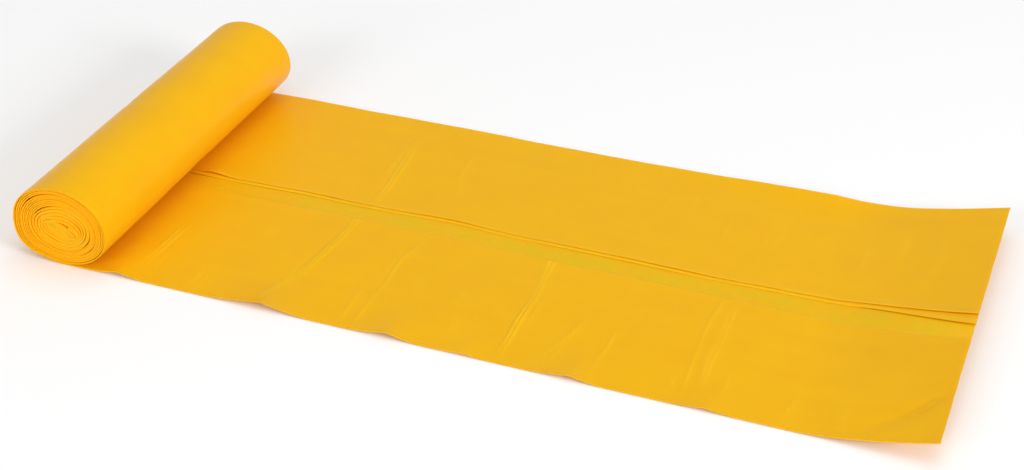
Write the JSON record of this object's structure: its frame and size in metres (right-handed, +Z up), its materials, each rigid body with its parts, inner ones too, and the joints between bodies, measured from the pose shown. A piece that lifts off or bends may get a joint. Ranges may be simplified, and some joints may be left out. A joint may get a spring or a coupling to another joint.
{
  "type": "roll of bin bags",
  "caption": "Coreless oval roll of perforated bin bags on its side, its leading bag unrolled flat and turned up at the torn end; bags folded lengthwise from both edges.",
  "frame": {"origin": "on the floor, under the middle of the roll and the unrolled bag taken together", "axes": "+X from the roll to the torn end of the leading bag, +Y across the bag along the roll's axis, +Z up"},
  "size_m": [0.8382, 0.363, 0.0792],
  "materials": {
    "bag_film": "satin"
  },
  "bodies": {
    "root": {"leading_bag": "bag_film", "wound_bags": "bag_film"}
  },
  "joints": []
}
